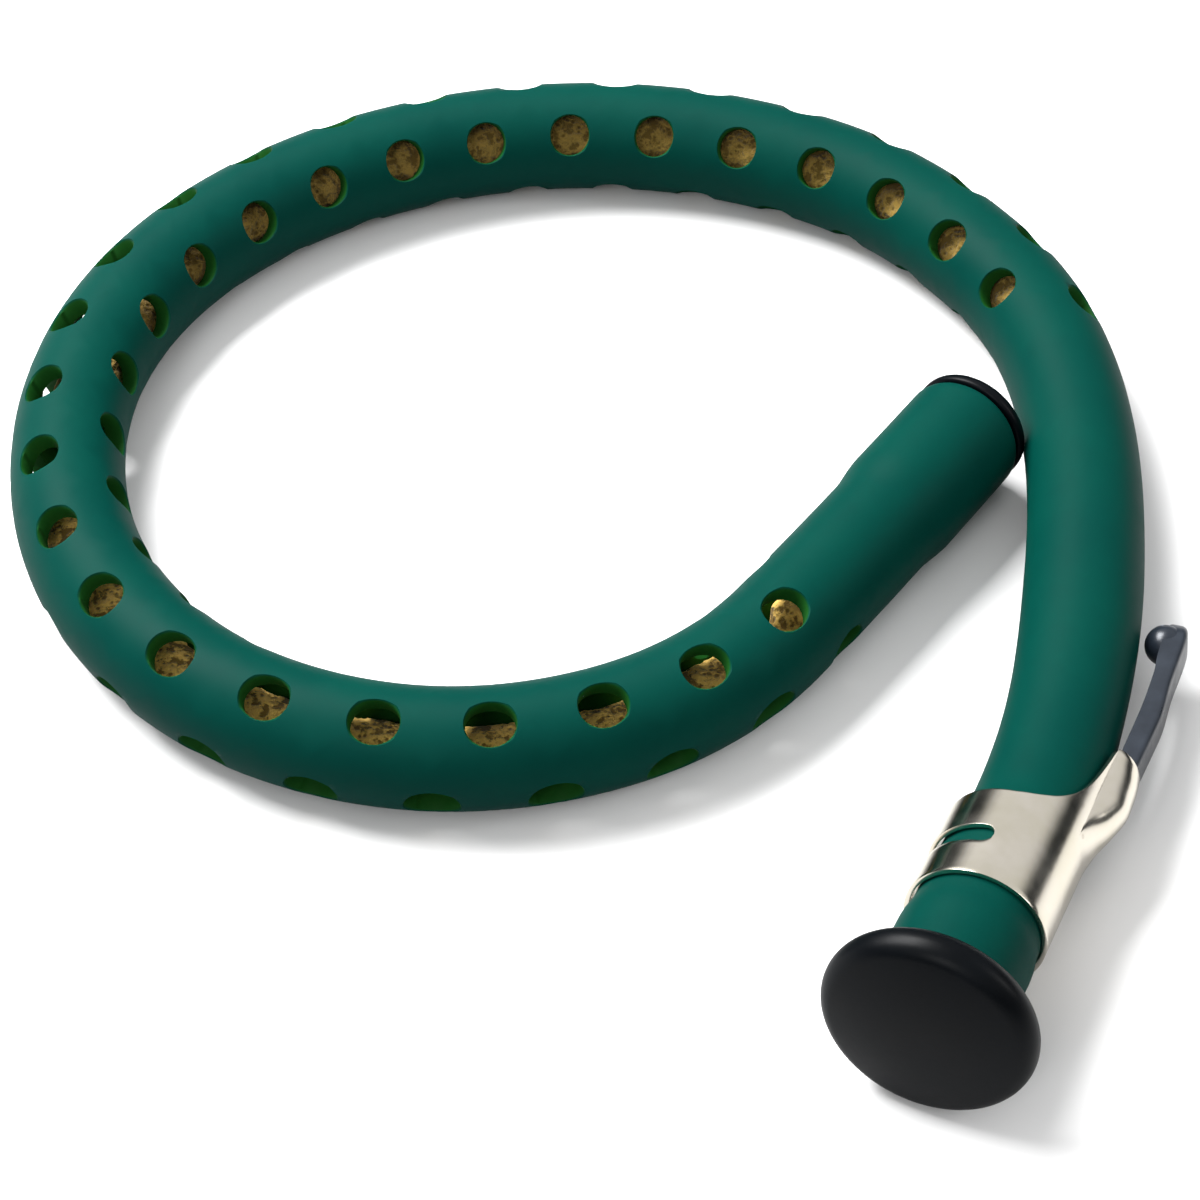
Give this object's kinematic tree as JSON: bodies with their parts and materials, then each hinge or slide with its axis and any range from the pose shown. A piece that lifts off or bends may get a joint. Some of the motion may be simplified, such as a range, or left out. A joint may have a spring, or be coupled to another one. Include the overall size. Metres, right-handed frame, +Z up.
{
  "type": "tube humidifier",
  "caption": "Perforated rubber tube with a sponge core, a mushroom plug at one end, a flush plug at the other and a sprung pocket clip on a band, for keeping a stringed instrument moist.",
  "frame": {"origin": "centre of the base of the bounding box, on the surface the tube lies on", "axes": "+Z up from that surface, +Y away from the mushroom plug's end of the loop, +X towards the clip"},
  "size_m": [0.095, 0.1132, 0.016],
  "materials": {
    "green_rubber": "satin",
    "sponge": "rough, porous",
    "black_plug": "satin",
    "bright_plate": "polished nickel",
    "dark_steel": "blackened, satin",
    "plain_steel": "plain"
  },
  "bodies": {
    "tube": {"perforated_tube": "green_rubber", "sponge_core": "sponge", "head_plug": "black_plug", "tail_plug": "black_plug"},
    "clip": {"clip_band": "bright_plate", "pivot_pin": "plain_steel", "leaf_spring": "plain_steel"},
    "arm": {"clip_arm": "dark_steel", "grip_ball": "dark_steel"}
  },
  "joints": [
    {"name": "clip_swivel", "type": "hinge", "parent": "tube", "child": "clip", "pos_m": [0.02514, -0.0509, 0.00784], "axis": [0.4002, 0.9123, -0.0865], "range_deg": [0, 15]},
    {"name": "arm_hinge", "type": "hinge", "parent": "clip", "child": "arm", "pos_m": [0.04074, -0.02841, 0.00625], "axis": [0.093, -0.1344, -0.9866], "range_deg": [0, 6], "stiffness_Nm_per_rad": 0.05, "springref_deg": -5.73}
  ]
}
